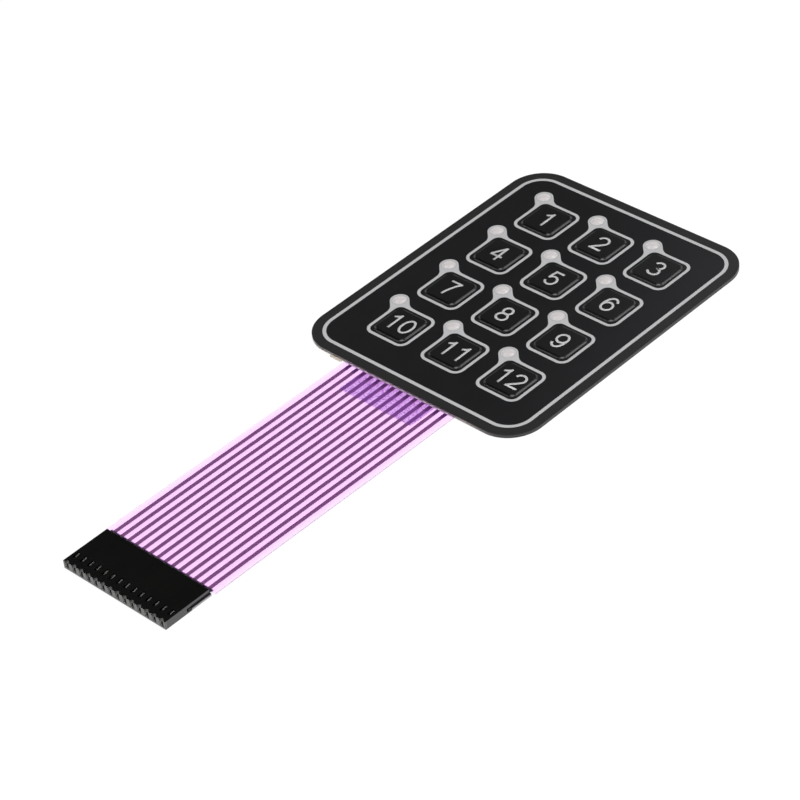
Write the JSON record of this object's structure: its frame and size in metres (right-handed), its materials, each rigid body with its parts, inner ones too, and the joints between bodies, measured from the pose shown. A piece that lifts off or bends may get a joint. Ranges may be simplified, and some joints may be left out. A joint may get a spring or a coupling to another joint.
{
  "type": "membrane keypad",
  "caption": "Thin laminated membrane keypad with embossed numbered keys, a light window beside each key, and a flat film tail ending in a crimped socket connector.",
  "frame": {"origin": "middle of the panel's back, on the release liner's underside", "axes": "+X along a row of keys, +Y up the columns away from the tail, +Z out of the front"},
  "size_m": [0.0754, 0.1916, 0.0024],
  "materials": {
    "overlay_black": "fine matt texture, embossed",
    "silver_ink": "satin silver print",
    "window_ink": "pale translucent window",
    "clear_adhesive": "clear acrylic adhesive",
    "spacer_film": "dark polyester film",
    "carbon_ink": "carbon print",
    "lilac_film": "lilac tinted polyester film",
    "trace_ink": "dark violet conductor print",
    "violet_tape": "violet tape with mottled adhesive",
    "liner_paper": "cream coated paper",
    "housing_black": "black moulded polyester",
    "cover_grey": "dark grey moulded polyester",
    "dome_steel": "stainless spring steel",
    "lamp_resin": "pale lamp resin",
    "contact_tin": "tin plated spring bronze"
  },
  "bodies": {
    "root": {"overlay": "overlay_black", "silver_print": "silver_ink", "led_windows": "window_ink", "overlay_adhesive": "clear_adhesive", "spacer": "spacer_film", "contact_pads": "carbon_ink", "circuit_film": "lilac_film", "tail_traces": "trace_ink", "tail_patch": "violet_tape", "rear_adhesive": "clear_adhesive", "release_liner": "liner_paper", "connector_housing": "housing_black", "connector_cover": "cover_grey", "snap_dome_1": "dome_steel", "snap_dome_2": "dome_steel", "snap_dome_3": "dome_steel", "snap_dome_4": "dome_steel", "snap_dome_5": "dome_steel", "snap_dome_6": "dome_steel", "snap_dome_7": "dome_steel", "snap_dome_8": "dome_steel", "snap_dome_9": "dome_steel", "snap_dome_10": "dome_steel", "snap_dome_11": "dome_steel", "snap_dome_12": "dome_steel", "led_1": "lamp_resin", "led_2": "lamp_resin", "led_3": "lamp_resin", "led_4": "lamp_resin", "led_5": "lamp_resin", "led_6": "lamp_resin", "led_7": "lamp_resin", "led_8": "lamp_resin", "led_9": "lamp_resin", "led_10": "lamp_resin", "led_11": "lamp_resin", "led_12": "lamp_resin", "contact_1": "contact_tin", "contact_2": "contact_tin", "contact_3": "contact_tin", "contact_4": "contact_tin", "contact_5": "contact_tin", "contact_6": "contact_tin", "contact_7": "contact_tin", "contact_8": "contact_tin", "contact_9": "contact_tin", "contact_10": "contact_tin", "contact_11": "contact_tin", "contact_12": "contact_tin", "contact_13": "contact_tin", "contact_14": "contact_tin"}
  },
  "joints": []
}
